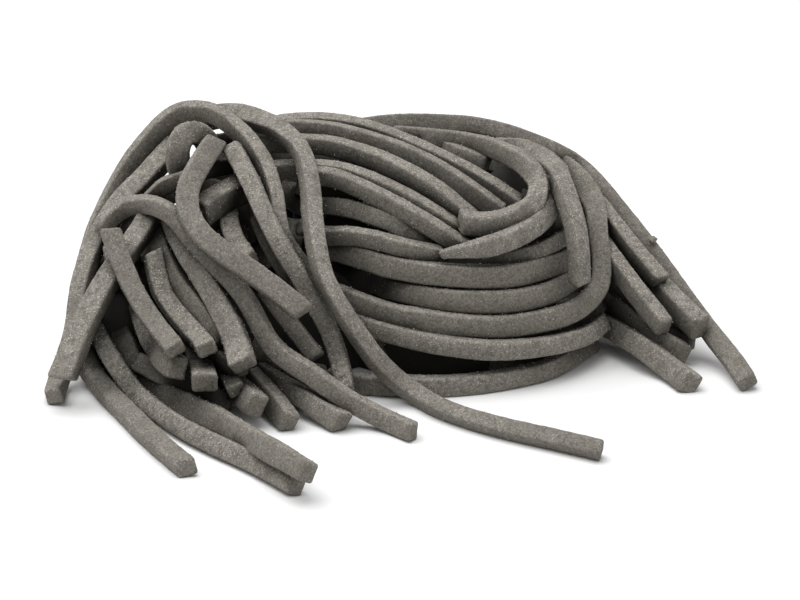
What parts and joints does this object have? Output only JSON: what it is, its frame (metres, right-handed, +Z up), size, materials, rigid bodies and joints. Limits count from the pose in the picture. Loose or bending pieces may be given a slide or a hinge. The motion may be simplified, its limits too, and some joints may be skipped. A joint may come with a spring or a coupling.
{
  "type": "pasta nest",
  "caption": "Loose nest of thick square-cut pasta strands in a floury grey-brown, coiled at one side and draped over a low arch at the other.",
  "frame": {"origin": "centre of the nest's bounding box on the table plane it rests on", "axes": "+X along the long side, from the arch towards the coil, +Y away from the viewer, +Z up"},
  "size_m": [0.0974, 0.0892, 0.0348],
  "materials": {
    "pasta": "matte, dusted with flour"
  },
  "bodies": {
    "root": {"node": "pasta"}
  },
  "joints": []
}
